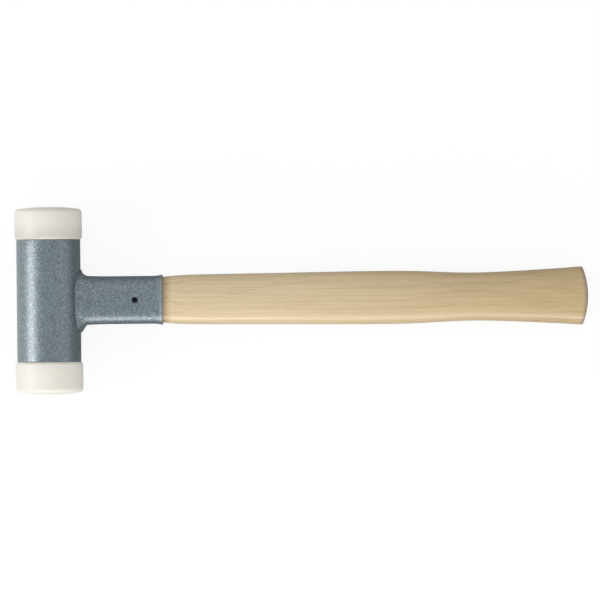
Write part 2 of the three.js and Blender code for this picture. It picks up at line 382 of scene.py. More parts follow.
def turned_solid(name, outline, ends, sides):
    """A piece turned round the head's axis and closed at its two ends along Y."""
    skin = Skin()
    rows = skin.put(turned_rings(outline, sides))
    skin.sheet(rows)
    for end, ring in zip(ends, (rows[0], rows[-1])):
        skin.pole((HEAD_X, end, AXIS_Z), ring)
    return skin.finish(name)


def oval_turn(sides, power):
    """Unit points of an oval, whose powers of width and depth add up to 1, at even angles."""
    turn = whole_turn(sides)

    def soften(value):
        return np.sign(value) * np.abs(value) ** (2 / power)

    return soften(np.cos(turn)), soften(np.sin(turn))


def hermite(before, start, end, after, share):
    """The smooth curve between two stops whose slope at each is that of its neighbours' chord."""
    leave = (end - before) / 2
    arrive = (after - start) / 2
    cubic = (2 * start - 2 * end + leave + arrive) * share**3
    square = (3 * end - 3 * start - 2 * leave - arrive) * share**2
    return cubic + square + leave * share + start


def through(stops, steps):
    """A smooth curve through rows of stops, with steps points between two of them."""
    stops = np.asarray(stops, float)
    ends = np.concatenate([stops[:1], stops, stops[-1:]])
    share = (np.arange(steps) / steps)[:, None]
    spans = [hermite(*ends[i:i + 4], share) for i in range(len(stops) - 1)]
    return np.concatenate([*spans, stops[-1:]])


# Finishes


def opaque(shade):
    """A plain colour with its alpha. A socket stays as it is."""
    return shade if isinstance(shade, NodeSocket) else (*shade, 1)


class Nodes:
    """Adds nodes to a tree and gives back their outputs.

    An input is a plain value or the socket that feeds it.
    """

    def __init__(self, tree):
        self.tree = tree

    def add(self, kind, inputs=None, **settings):
        node = self.tree.nodes.new(kind)
        for key, value in settings.items():
            setattr(node, key, value)
        for key, value in (inputs or {}).items():
            if isinstance(value, NodeSocket):
                self.tree.links.new(value, node.inputs[key])
            else:
                node.inputs[key].default_value = value
        return node.outputs

    def group(self, tree, **inputs):
        return self.add("ShaderNodeGroup", inputs, node_tree=tree)

    def math(self, operation, *values, **settings):
        return self.add("ShaderNodeMath", dict(enumerate(values)), operation=operation, **settings)[0]

    def times(self, one, other):
        return self.math("MULTIPLY", one, other)

    def plus(self, one, other, **settings):
        return self.math("ADD", one, other, **settings)

    def mix(self, share, one, other, blend="MIX"):
        inputs = {0: share, 6: opaque(one), 7: opaque(other)}
        return self.add("ShaderNodeMix", inputs, data_type="RGBA", blend_type=blend)[2]

    def ease(self, value, low, high, start=0.0, end=1.0):
        """Carries a value from one range smoothly to another, and holds it there."""
        inputs = {0: value, 1: low, 2: high, 3: start, 4: end}
        return self.add("ShaderNodeMapRange", inputs, interpolation_type="SMOOTHSTEP")[0]

    def parts(self, vector):
        """The X, Y and Z of a vector."""
        return self.add("ShaderNodeSeparateXYZ", {0: vector})

    def stretched(self, vector, scale, place=(0, 0, 0), turn=(0, 0, 0)):
        inputs = {"Vector": vector, "Scale": scale, "Location": place, "Rotation": turn}
        return self.add("ShaderNodeMapping", inputs)[0]

    def noise(self, vector, scale=1.0, detail=2.0, roughness=0.5):
        inputs = {"Vector": vector, "Scale": scale, "Detail": detail, "Roughness": roughness}
        return self.add("ShaderNodeTexNoise", inputs)["Fac"]

    def bump(self, height, distance, strength=0.3):
        inputs = {"Strength": strength, "Distance": distance, "Height": height}
        return self.add("ShaderNodeBump", inputs)[0]


def shared_group(name, inputs, outputs):
    """Wraps a function that works out a shader group's outputs, so that the group is made once."""

    def wrap(work_out):
        def give():
            if name in bpy.data.node_groups:
                return bpy.data.node_groups[name]
            group = bpy.data.node_groups.new(name, "ShaderNodeTree")
            for socket in inputs:
                kind = "NodeSocketVector" if socket == "Vector" else "NodeSocketFloat"
                group.interface.new_socket(socket, in_out="INPUT", socket_type=kind)
            for socket in outputs:
                group.interface.new_socket(socket, in_out="OUTPUT", socket_type="NodeSocketFloat")
            nodes = Nodes(group)
            given = nodes.add("NodeGroupInput")
            nodes.add("NodeGroupOutput", work_out(nodes, given))
            return group

        return give

    return wrap


@shared_group("Soft clouds", ("Vector", "Scale"), ("Clouds",))
def clouds_group(nodes, given):
    """Soft clouds, from 0 to 1, of about the size that Scale sets in clouds to the metre."""
    spread = nodes.noise(given["Vector"], given["Scale"], detail=3.0, roughness=0.55)
    return {"Clouds": nodes.ease(spread, 0.3, 0.7)}


@shared_group("Handling marks", ("Vector",), ("Rubbed", "Scratched"))
def handling_group(nodes, given):
    """Faint rubbed patches and hairline scratches, as two masks from 0 to 1."""
    patches = nodes.noise(given["Vector"], 55.0, detail=4.0, roughness=0.6)
    drawn_out = nodes.stretched(given["Vector"], (60, 2600, 2600), turn=(0.3, 0.7, 0.9))
    lines = nodes.ease(nodes.noise(drawn_out, detail=1.0), 0.7, 0.74)
    where = nodes.ease(nodes.noise(given["Vector"], 120.0, detail=1.0), 0.5, 0.62)
    return {"Rubbed": nodes.ease(patches, 0.5, 0.72), "Scratched": nodes.times(lines, where)}


@shared_group("Turning marks", ("Vector", "Scale"), ("Height",))
def turning_group(nodes, given):
    """Fine rings left by turning: noise on the distance from the head's axis and the place along it."""
    part = nodes.parts(given["Vector"])
    aside = nodes.math("SUBTRACT", part["X"], HEAD_X)
    above = nodes.math("SUBTRACT", part["Z"], AXIS_Z)
    square = nodes.plus(nodes.times(aside, aside), nodes.times(above, above))
    radius = nodes.math("SQRT", square)
    place = nodes.add("ShaderNodeCombineXYZ", {0: radius, 1: part["Y"]})[0]
    return {"Height": nodes.noise(place, given["Scale"])}


def bare_material(name):
    """A material without nodes, and what adds them."""
    material = bpy.data.materials.new(name)
    material.use_nodes = True
    material.node_tree.nodes.clear()
    return material, Nodes(material.node_tree)


def surface_finish(name):
    """Wraps a function that works out a Principled shader's inputs, so that the material is made once.

    The function gets the nodes, the Object coordinates and the colours.
    """

    def wrap(work_out):
        def give():
            if name in bpy.data.materials:
                return bpy.data.materials[name]
            material, nodes = bare_material(name)
            place = nodes.add("ShaderNodeTexCoord")["Object"]
            inputs = work_out(nodes, place, bpy.context.scene.hammer_colours)
            surface = nodes.add("ShaderNodeBsdfPrincipled", inputs)[0]
            nodes.add("ShaderNodeOutputMaterial", {"Surface": surface}, is_active_output=True)
            return material

        return give

    return wrap


@surface_finish("Hammertone paint")
def hammertone_material(nodes, place, colours):
    """Hammertone paint: crowded little domes with darker hollows between them, and bright flake.

    It is painted lighter toward the socket's rim, a painted highlight where the flared mouth catches the
    light.
    """
    veins = nodes.math("ABSOLUTE", nodes.math("SUBTRACT", nodes.noise(place, 800.0), 0.5))
    domes = nodes.ease(veins, 0.01, 0.12)
    flake = nodes.noise(place, 2400.0, roughness=0.6)
    tone = nodes.times(domes, nodes.ease(flake, 0.3, 0.7, 0.55, 1.0))
    base = nodes.mix(tone, colours.paint_dark, colours.paint)
    # Painted highlight: the paint turns lighter over the last few millimetres before the socket's rim
    lightened = nodes.ease(nodes.parts(place)["X"], RIM_X - 4 * MM, RIM_X - 0.5 * MM, 0.0, 0.42)
    rubbed = nodes.times(nodes.group(handling_group(), Vector=place)["Rubbed"], 0.05)
    height = nodes.plus(domes, nodes.times(flake, 0.25))
    return {
        "Base Color": nodes.mix(lightened, base, colours.paint_rim_highlight),
        "Roughness": nodes.plus(nodes.ease(flake, 0.3, 0.7, 0.39, 0.47), rubbed),
        "Normal": nodes.bump(height, 0.12 * MM, strength=0.9),
        "Metallic": 0.85,
        "Specular Tint": opaque(colours.paint_sheen),
        "Coat Weight": 1.0,
        "Coat IOR": 2.35,
        "Coat Roughness": 0.31,
        "Coat Normal": nodes.bump(height, 0.04 * MM, strength=0.9),
    }


@surface_finish("Nylon")
def nylon_material(nodes, place, colours):
    """Turned nylon: off-white, faintly clouded and waxy, with the rings that the lathe left.

    The upper face is painted a little darker beside the tube, painted shade over its heel.
    """
    clouds = nodes.group(clouds_group(), Vector=place, Scale=70.0)["Clouds"]
    handling = nodes.group(handling_group(), Vector=place)
    turning = nodes.group(turning_group(), Vector=place, Scale=2600.0)["Height"]
    base = nodes.mix(nodes.times(clouds, 0.5), colours.nylon, colours.nylon_deep)
    along = nodes.parts(place)["Y"]
    # Painted shade on the upper face only, fading out over 12 mm from the tube's end
    outside = nodes.ease(along, TUBE_END - 0.4 * MM, TUBE_END)
    heel_shade = nodes.times(outside, nodes.ease(along, TUBE_END, TUBE_END + 12 * MM, 1.0, 0.0))
    rubbed = nodes.times(handling["Rubbed"], 0.06)
    scratched = nodes.times(handling["Scratched"], -0.6)
    height = nodes.plus(nodes.times(turning, 0.5), scratched)
    return {
        "Base Color": nodes.mix(heel_shade, base, colours.nylon_heel_shade),
        "Roughness": nodes.plus(nodes.ease(turning, 0.3, 0.7, 0.36, 0.46), rubbed),
        "Normal": nodes.bump(height, 0.05 * MM),
        "IOR": 1.53,
        "Subsurface Weight": 0.25,
        "Subsurface Radius": (1.0, 0.75, 0.5),
        "Subsurface Scale": 3 * MM,
    }


@surface_finish("Hickory")
def hickory_material(nodes, place, colours):
    """Hickory: growth rings round a pith beside the handle, long fibres and short open pores.

    All three are carried along X, so they run as lines on the sides and show as end grain on the butt.
    The wood is painted darker and warmer toward the butt, partly painted shade and partly its tone;
    darker beside the socket's rim, a painted shadow of the rim; and darker on its end, partly end
    grain and partly painted shade, whose edge is found on the butt's crown.
    """
    drawn_out = nodes.stretched(place, (0.03, 1, 1))
    clouds = nodes.group(clouds_group(), Vector=drawn_out, Scale=160.0)["Clouds"]
    rings = nodes.add(
        "ShaderNodeTexWave",
        {
            "Vector": nodes.stretched(place, (0.012, 1, 1), (0.0, 0.03, 0.16)),
            "Scale": 210.0,
            "Distortion": 0.3,
            "Detail": 2.0,
            "Detail Scale": 0.8,
        },
        wave_type="RINGS",
        rings_direction="X",
        wave_profile="SAW",
    )["Fac"]
    fibres = nodes.noise(nodes.stretched(place, (5, 1100, 1100)), detail=4.0, roughness=0.7)
    pores = nodes.noise(nodes.stretched(place, (120, 3600, 3600)), detail=1.0)
    early = nodes.times(nodes.ease(rings, 0.6, 1.0), 0.14)
    line = nodes.plus(early, nodes.ease(fibres, 0.36, 0.7, 0.0, 0.55))
    line = nodes.plus(line, nodes.times(clouds, 0.12), use_clamp=True)
    porous = nodes.ease(rings, 0.3, 0.95, 0.15, 0.5)
    open_pores = nodes.times(nodes.ease(pores, 0.6, 0.72), porous)
    grain = nodes.mix(line, colours.hickory, colours.hickory_line)
    grain = nodes.mix(open_pores, grain, colours.hickory_pore)
    spot = nodes.parts(place)
    # Partly painted shade where the light falls off, partly a warmer tone: from 40 mm past the rim to the
    # butt
    butt_shade_and_tone = nodes.ease(spot["X"], RIM_X + 40 * MM, HANDLE_HIGH.x)
    # Painted shadow of the socket's rim, fading over 6 mm along the wood
    rim_shadow = nodes.ease(spot["X"], RIM_X, RIM_X + 6 * MM, 1.0, 0.0)
    sizes = bpy.context.scene.hammer_handle
    bend = 4 * sizes.butt_crown / sizes.butt[1] ** 2
    crown = nodes.times(nodes.math("POWER", spot["Y"], 2.0), bend)
    uncrowned = nodes.plus(spot["X"], crown)
    # Partly end grain, partly painted shade on the butt's end
    end_grain_and_shade = nodes.ease(uncrowned, HANDLE_HIGH.x - 3.5 * MM, HANDLE_HIGH.x - MM)
    tint = nodes.mix(butt_shade_and_tone, (1, 1, 1), colours.hickory_butt_shade_and_tone)
    tint = nodes.mix(rim_shadow, tint, colours.hickory_rim_shadow)
    tint = nodes.mix(end_grain_and_shade, tint, colours.hickory_end_grain_and_shade)
    height = nodes.math("SUBTRACT", nodes.times(fibres, 0.3), open_pores)
    return {
        "Base Color": nodes.mix(1.0, grain, tint, "MULTIPLY"),
        "Roughness": nodes.ease(fibres, 0.3, 0.7, 0.36, 0.46),
        "Normal": nodes.bump(height, 0.06 * MM),
        "Coat Weight": 0.9,
        "Coat Roughness": 0.3,
    }


@surface_finish("Bare steel")
def steel_material(nodes, place, colours):
    """Bare steel with turning marks and a little cloudy dulling."""
    clouds = nodes.group(clouds_group(), Vector=place, Scale=160.0)["Clouds"]
    turning = nodes.group(turning_group(), Vector=place, Scale=4200.0)["Height"]
    dull = [0.8 * value for value in colours.steel]
    dulled = nodes.times(clouds, 0.08)
    return {
        "Base Color": nodes.mix(clouds, colours.steel, dull),
        "Roughness": nodes.plus(nodes.ease(turning, 0.3, 0.7, 0.24, 0.36), dulled),
        "Normal": nodes.bump(turning, 0.04 * MM),
        "Metallic": 1.0,
    }


@surface_finish("Spring steel")
def spring_material(nodes, place, colours):
    """Blackened spring steel with a grainy, slightly worn skin."""
    clouds = nodes.group(clouds_group(), Vector=place, Scale=900.0)["Clouds"]
    lightened = [2 * value for value in colours.spring]
    return {
        "Base Color": nodes.mix(nodes.times(clouds, 0.5), colours.spring, lightened),
        "Roughness": nodes.ease(clouds, 0.0, 1.0, 0.34, 0.5),
        "Normal": nodes.bump(nodes.noise(place, 5000.0), 0.03 * MM),
        "Metallic": 1.0,
    }


# Pieces


class HAMMER_OT_tube(Operator):
    """The painted tube: its rounded outside, its two counterbores and the shot chamber between them"""

    bl_idname = "hammer.tube"
    bl_label = "Painted tube"

    def execute(self, context):
        sizes = context.scene.hammer_head
        bore = TUBE_RADIUS - sizes.wall
        chamber = bore - sizes.ledge
        ledge = PLATE_LOW.y - sizes.gap
        soft = sizes.tube_edge / 2
        half = [
            (TUBE_RADIUS, TUBE_END, sizes.tube_edge),
            (bore, TUBE_END, soft),
            (bore, ledge, 0),
            (chamber, ledge, soft),
        ]
        other = [(radius, -along, size) for radius, along, size in reversed(half)]
        outline = rounded(half + other)
        straight = np.linspace(outline[-1], outline[0], TUBE_STEPS)[1:-1]
        rings = turned_rings(np.concatenate([outline, straight]), sizes.sides)
        skin = Skin()
        skin.sheet(skin.put(rings), along=True)
        piece = skin.finish("painted_tube")
        dressed(piece, "frame", "hammertone_paint", hammertone_material(), "head_tube")
        return {"FINISHED"}


class HAMMER_OT_faces(Operator):
    """The nylon faces: a crowned disc with a rounded rim, on a ribbed spigot"""

    bl_idname = "hammer.faces"
    bl_label = "Nylon faces"

    def outline(self, sizes):
        """From the spigot's end to the crown: straight sides, ribs, the rim's arc and the crown's arc.

        The crown's arc is level at the edge of the land, and the rim's arc is tangent to it.
        """
        rib = PLATE_RADIUS
        core = rib - sizes.rib
        spigot = FACE_LOW.y
        pitch = (TUBE_END - spigot - sizes.tip) / sizes.rib_count
        starts = spigot + sizes.tip + pitch * np.arange(sizes.rib_count)
        soft = sizes.rib / 3
        corners = [(core - sizes.tip, spigot, soft), (core, spigot + sizes.tip, 0)]
        for start in starts:
            corners += [(rib, start + pitch / 2, soft), (core, start + pitch / 2 + soft, soft)]
        seat = TUBE_END + sizes.seat
        corners += [
            (core, seat, soft),
            (TUBE_RADIUS, seat, soft),
            (FACE_RADIUS, seat + sizes.heel, sizes.heel / 3),
        ]
        land = sizes.land / 2
        crown = ((FACE_RADIUS - land) ** 2 + sizes.crown**2) / (2 * sizes.crown)
        centre = FACE_HIGH.y - crown
        rim = FACE_RADIUS - sizes.rim
        rise = math.sqrt((crown - sizes.rim) ** 2 - (rim - land) ** 2)
        meeting = math.atan2(rise, rim - land)
        corners += [(FACE_RADIUS, centre + rise, 0)]
        side = rounded([(0, spigot, 0), *corners])[1:]
        return np.concatenate([
            side,
            arc((rim, centre + rise), sizes.rim, 0, meeting, ARC_STEPS)[1:],
            arc((land, centre), crown, meeting, math.pi / 2, ARC_STEPS)[1:],
            [(land / 2, FACE_HIGH.y)],
        ])

    def execute(self, context):
        sizes = context.scene.hammer_head
        outline = self.outline(sizes)
        for end, way in HEAD_ENDS:
            node = f"{end}_face"
            ends = way * FACE_LOW.y, way * FACE_HIGH.y
            piece = turned_solid(f"nylon_face_{end}", outline * (1, way), ends, sizes.sides)
            dressed(piece, node, "nylon", nylon_material(), node)
        return {"FINISHED"}


class HAMMER_OT_plates(Operator):
    """The steel plates that shut the shot chamber"""

    bl_idname = "hammer.plates"
    bl_label = "Chamber plates"

    def execute(self, context):
        sizes = context.scene.hammer_head
        soft = sizes.gap
        outline = rounded([
            (0, PLATE_LOW.y, 0),
            (PLATE_RADIUS, PLATE_LOW.y, soft),
            (PLATE_RADIUS, PLATE_HIGH.y, soft),
            (0, PLATE_HIGH.y, 0),
        ])[1:-1]
        for end, way in HEAD_ENDS:
            ends = way * PLATE_LOW.y, way * PLATE_HIGH.y
            piece = turned_solid(f"chamber_plate_{end}", outline * (1, way), ends, sizes.sides)
            dressed(piece, "frame", "bright_steel", steel_material(), f"{end}_plate")
        return {"FINISHED"}


class HAMMER_OT_shot(Operator):
    """The loose shot: a smooth ball in the place of each pellet"""

    bl_idname = "hammer.shot"
    bl_label = "Shot"

    def execute(self, context):
        turn = whole_turn(BALL_SIDES)
        rise = np.linspace(-math.pi / 2, math.pi / 2, BALL_STEPS)[1:-1, None]
        ball = placed(np.cos(rise) * np.cos(turn), np.cos(rise) * np.sin(turn), np.sin(rise))
        for node in PELLETS:
            low, high = (np.array(corner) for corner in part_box(node))
            centre = (low + high) / 2
            radius = (high - low).max() / 2
            skin = Skin()
            rows = skin.put(centre + radius * ball)
            skin.sheet(rows)
            skin.pole(centre - (0, 0, radius), rows[0])
            skin.pole(centre + (0, 0, radius), rows[-1])
            name = node.replace("shot", "pellet")
            dressed(skin.finish(name), "shot_charge", "bright_steel", steel_material(), node)
        return {"FINISHED"}


def socket_half(sizes, along, inner=False, inset=0.0):
    """Half width of the socket at places along X: a narrowing foot, a straight part and a flared mouth."""
    straight = RIM_HALF - sizes.flare
    mouth = np.clip((along - RIM_X + sizes.mouth) / sizes.mouth, 0, 1) ** 2
    if inner:
        bore = straight - sizes.wall
        return bore + (RIM_HALF - sizes.mouth_wall - bore) * mouth - inset
    foot = 1 - np.clip((along - HEAD_X - TUBE_RADIUS) / sizes.foot_length, 0, 1)
    return straight + sizes.foot * smooth(foot) + sizes.flare * mouth - inset


def saddle(depth, radius):
    """Where a cylinder of that radius round the head's axis lies along X, at a depth from its middle."""
    return HEAD_X + np.sqrt(radius**2 - depth**2)


def oval_surface(sizes, power, inner=False, inset=0.0):
    """Gives the function for an oval's depth at a place along X and a distance aside of its middle.

    The oval is the socket's outer or inner wall, or lies inset from it. The depth is what the power of
    the distance leaves of 1, to one over the power.
    """

    def depth(along, aside):
        half = socket_half(sizes, along, inner, inset)
        return (half - FLATTENING) * (1 - np.abs(aside / half) ** power) ** (1 / power)

    return depth


def pierce(skin, rows, window, way, radius, edge, surface):
    """Fills a window of a sheet up to a round hole for the pin, and gives back the hole's ring.

    Each point of the window's frame moves straight towards the hole's rim in even steps, on the
    surface's own depth, and the rim rolls over its edge on a quarter circle.
    """
    first_row, last_row, first_column, last_column = window
    loop = np.concatenate([
        rows[first_row, first_column:last_column],
        rows[first_row:last_row, last_column],
        rows[last_row, last_column:first_column:-1],
        rows[last_row:first_row:-1, first_column],
    ])
    framing = np.concatenate(skin.points)[loop] - (PIN_X, 0, 0)
    hair = 1e-9  # keeps a point straight behind the pin at plus half a turn
    turn = np.arctan2(framing[:, 1] + hair, framing[:, 0])
    order = np.argsort(turn)
    loop, framing, turn = loop[order], framing[order], turn[order]
    outward = np.stack([np.cos(turn), np.sin(turn)], axis=-1)
    steps = []
    for share in np.linspace(0, 1, HOLE_STEPS)[1:]:
        steps.append((framing[:, :2] * (1 - share) + outward * (radius + edge) * share, 0))
    for roll in np.linspace(0, math.pi / 2, HOLE_EDGE_STEPS)[1:]:
        steps.append((outward * (radius + edge * (1 - math.sin(roll))), edge * (1 - math.cos(roll))))
    for flat, drop in steps:
        along, aside = PIN_X + flat[:, 0], flat[:, 1]
        ring = skin.put(placed(along, aside, AXIS_Z + way * (surface(along, aside) - drop)))
        skin.strip(loop, ring)
        loop = ring
    return loop


def pin_windows(points, radius):
    """Windows round the pin on the front and the back of rows of points that go round X."""
    span = 3 * radius
    half = points.shape[1] // 2
    row = np.abs(points[:, half // 2, 0] - PIN_X)
    inside = np.flatnonzero(row < span)
    aside = np.abs(points[row.argmin(), :, 1])
    front = np.flatnonzero(aside[:half] < span)
    back = half + np.flatnonzero(aside[half:] < span)
    return [(inside[0], inside[-1], columns[0], columns[-1]) for columns in (front, back)]


class HAMMER_OT_socket(Operator):
    """The oval socket: a sleeve with a saddle at its foot, a flared mouth and a hole for the pin"""

    bl_idname = "hammer.socket"
    bl_label = "Oval socket"

    def wall(self, sizes, power, inner=False):
        """Rows of one wall: each goes round the oval at its share of the way from the saddle to the rim."""
        across, deep = oval_turn(sizes.sides, power)
        foot_half = socket_half(sizes, np.array(HEAD_X), inner)
        start = saddle((foot_half - FLATTENING) * deep, TUBE_RADIUS - sizes.sink)
        along = start + (RIM_X - start) * SOCKET_SHARES[:, None]
        half = socket_half(sizes, along, inner)
        return placed(along, half * across, AXIS_Z + (half - FLATTENING) * deep)

    def execute(self, context):
        sizes = context.scene.hammer_socket
        power = context.scene.hammer_handle.oval
        outer = self.wall(sizes, power)
        inner = self.wall(sizes, power, inner=True)
        rim = self.lip(outer[-1], inner[-1])
        outer[-1], inner[-1] = rim[0], rim[-1]
        skin = Skin()
        outer_rows = skin.put(outer)
        lip_rows = skin.put(rim[1:-1])
        inner_rows = skin.put(inner)
        radius = PIN_RADIUS + sizes.pin_fit
        windows = pin_windows(outer, radius)
        skin.sheet(outer_rows, windows=windows)
        skin.sheet(np.concatenate([outer_rows[-1:], lip_rows, inner_rows[-1:]]))
        skin.sheet(inner_rows, windows=windows)
        skin.strip(inner_rows[0], outer_rows[0])
        outside = oval_surface(sizes, power)
        inside = oval_surface(sizes, power, inner=True)
        for way, window in zip((1, -1), windows):
            outer_hole = pierce(skin, outer_rows, window, way, radius, sizes.hole_edge, outside)
            inner_hole = pierce(skin, inner_rows, window, way, radius, INNER_HOLE_EDGE, inside)
            skin.strip(outer_hole, inner_hole)
        socket = skin.finish("oval_socket")
        dressed(socket, "frame", "hammertone_paint", hammertone_material(), "handle_socket")
        return {"FINISHED"}

    def lip(self, outer, inner):
        """The rim between the two walls, rolled over on half an ellipse along X."""
        middle = (outer + inner) / 2
        reach = (outer - inner) / 2
        depth = np.linalg.norm(reach[:, 1:], axis=1).mean()
        turn = np.linspace(0, math.pi, LIP_STEPS)[:, None, None]
        back = np.array([depth, 0, 0])
        return middle - back + reach * np.cos(turn) + back * np.sin(turn)


class HAMMER_OT_weld(Operator):
    """The weld bead round the socket's foot: low on the broad sides, and a fillet on the narrow ones"""

    bl_idname = "hammer.weld"
    bl_label = "Weld bead"

    def section(self, sizes, across, turn):
        """Rows of (out from the socket, up from the tube): a blunt toe, and a parabola between two legs.

        The parabola leans on a point at a share of both legs. A half would make it straight, and less
        makes it hollow: it is most hollow on the broad sides and above, and nearly straight below.
        """
        narrow = across**2
        uneven = sum(share * np.sin(waves * turn + phase) for share, waves, phase in WELD_WAVES)
        side = (sizes.weld_upper * (1 + across) + sizes.weld_lower * (1 - across)) / 2
        out_leg = (sizes.weld_front + (side - sizes.weld_front) * narrow) * (1 + uneven)
        up_leg = sizes.weld_leg * (1 + uneven)
        hollow, added_below = 0.14, 0.32
        full = hollow + narrow * added_below * (1 - across) / 2
        toe = sizes.weld_feather + (sizes.weld_toe - sizes.weld_feather) * narrow**2
        crowding = 0.8 * np.sin(5 * turn)
        ripple = sizes.weld_ripple * np.abs(np.sin(WELD_RIPPLES * turn + crowding))
        share = np.linspace(0, 1, WELD_STEPS)[:, None]
        swell = ripple * np.sin(math.pi * share)
        out = parabola(out_leg, full * out_leg, 0, share)
        up = parabola(toe, full * up_leg, up_leg, share)
        return out + swell, up + swell

    def execute(self, context):
        sizes = context.scene.hammer_socket
        sides = 2 * sizes.sides
        across, deep = oval_turn(sides, context.scene.hammer_handle.oval)
        out, up = self.section(sizes, across, whole_turn(sides))
        sunk = np.full(sides, sizes.sink)
        out = np.vstack([out, -sunk / 2, -sunk, out[0] + sizes.weld_feather])
        up = np.vstack([up, up[-1] + sizes.weld_feather, -sunk, -sunk / 2])
        half = socket_half(sizes, np.array(HEAD_X + TUBE_RADIUS))
        depth = (half - FLATTENING + out) * deep
        along = saddle(depth, TUBE_RADIUS) + up
        skin = Skin()
        skin.sheet(skin.put(placed(along, (half + out) * across, AXIS_Z + depth)), along=True)
        dressed(skin.finish("weld_bead"), "frame", "hammertone_paint", hammertone_material(), "socket_weld")
        return {"FINISHED"}


class HAMMER_OT_pin(Operator):
    """The spring pin: a strip rolled to most of a ring, with chamfered ends and a dark plug across its bore
    as painted shade
    """

    bl_idname = "hammer.pin"
    bl_label = "Spring pin"

    def round_pin(self, skin, radius, height, turn):
        """Adds points at radii and heights round the pin's axis."""
        return skin.put(placed(PIN_X + radius * np.cos(turn), radius * np.sin(turn), height))

    def execute(self, context):
        sizes = context.scene.hammer_socket
        inner = PIN_RADIUS - sizes.pin_wall
        middle = (PIN_RADIUS + inner) / 2
        chamfer = sizes.pin_wall / 3
        section = rounded([
            (PIN_RADIUS, PIN_LOW.z, chamfer),
            (PIN_RADIUS, PIN_HIGH.z, chamfer),
            (inner, PIN_HIGH.z, chamfer / 2),
            (inner, PIN_LOW.z, chamfer / 2),
        ])
        gap = math.asin(sizes.pin_slot / 2 / middle)
        turn = np.linspace(gap, 2 * math.pi - gap, PIN_STEPS)[:, None]
        skin = Skin()
        strip = self.round_pin(skin, *section.T, turn)
        centre = (PIN_LOW.z + PIN_HIGH.z) / 2
        # Painted shade: a dark plug across the bore, halfway along the pin
        height = centre + np.array([[-0.5], [0.5]]) * sizes.pin_shade_plug
        shade_plug = self.round_pin(skin, PIN_RADIUS - sizes.pin_fit, height, whole_turn(SHADE_PLUG_SIDES))
        for rows in (strip, shade_plug):
            skin.sheet(rows)
            skin.patch(rows[0])
            skin.patch(rows[-1])
        dressed(skin.finish("spring_pin"), "frame", "spring_steel", spring_material(), "roll_pin")
        return {"FINISHED"}


class HAMMER_OT_handle(Operator):
    """The hickory handle: a tenon in the socket, a swelling grip and a crowned butt"""

    bl_idname = "hammer.handle"
    bl_label = "Hickory handle"

    def tenon(self, sizes, socket, gap):
        """Rows of (place along X, half width, half depth, setback) from the tenon's tip to the rim."""
        tip = HANDLE_LOW.x
        along = np.concatenate([[tip + sizes.tip / 2], np.linspace(tip + sizes.tip, RIM_X, TENON_STEPS)])
        half = socket_half(socket, along, inner=True, inset=gap)
        half[0] -= sizes.tip / 2
        return np.column_stack([along, half, half - FLATTENING, np.zeros(len(along))])

    def grip(self, sizes, rim):
        """The same rows on from the rim, on a smooth curve through the stations, bent back at its end."""
        stops = [rim[:3]]
        for run, width, thickness in (sizes.shoulder, sizes.shank, sizes.belly, sizes.waist, sizes.butt):
            stops.append((stops[-1][0] + run, width / 2, thickness / 2))
        curve = through(stops, STATION_STEPS)
        near_end = np.clip((curve[:, 0] - curve[-1, 0]) / sizes.crown_run + 1, 0, 1)
        return np.column_stack([curve, sizes.butt_crown * smooth(near_end)])

    def end(self, sizes, side):
        """The same rows from the side over the rounded edge to the crowned end, which are parabolas."""
        spread = np.cos(np.linspace(0, math.pi / 2, BUTT_STEPS)[:-1])[:, None]
        inset = side[1:3] - sizes.butt_edge
        crown = sizes.butt_crown * (inset[0] / side[1] * spread) ** 2
        face = np.column_stack([HANDLE_HIGH.x - sizes.butt_rise * spread**2, inset * spread, crown])
        corner = np.array([face[0, 0], side[1], side[2], side[3]])
        share = np.linspace(0, 1, BUTT_EDGE_STEPS)[1:-1, None]
        return np.concatenate([parabola(side, corner, face[0], share), face])

    def execute(self, context):
        sizes = context.scene.hammer_handle
        socket = context.scene.hammer_socket
        gap = context.scene.hammer_head.gap
        tenon = self.tenon(sizes, socket, gap)
        grip = self.grip(sizes, tenon[-1])
        outline = np.concatenate([tenon[:-1], grip, self.end(sizes, grip[-1])])
        across, deep = oval_turn(sizes.sides, sizes.oval)
        along, half, depth, setback = outline.T[:, :, None]
        rows = placed(along - setback * across**2, half * across, AXIS_Z + depth * deep)
        skin = Skin()
        numbers = skin.put(rows)
        radius = PIN_RADIUS + socket.pin_fit
        windows = pin_windows(rows, radius)
        skin.sheet(numbers, windows=windows)
        skin.pole((HANDLE_LOW.x, 0, AXIS_Z), numbers[0])
        skin.pole((HANDLE_HIGH.x, 0, AXIS_Z), numbers[-1])
        surface = oval_surface(socket, sizes.oval, inner=True, inset=gap)
        front, back = (
            pierce(skin, numbers, window, way, radius, INNER_HOLE_EDGE, surface)
            for window, way in zip(windows, (1, -1))
        )
        skin.strip(front, back)
        piece = skin.finish("hickory_handle", sharp_angle=50)
        dressed(piece, "frame", "hickory", hickory_material(), "handle")
        return {"FINISHED"}


# Studio


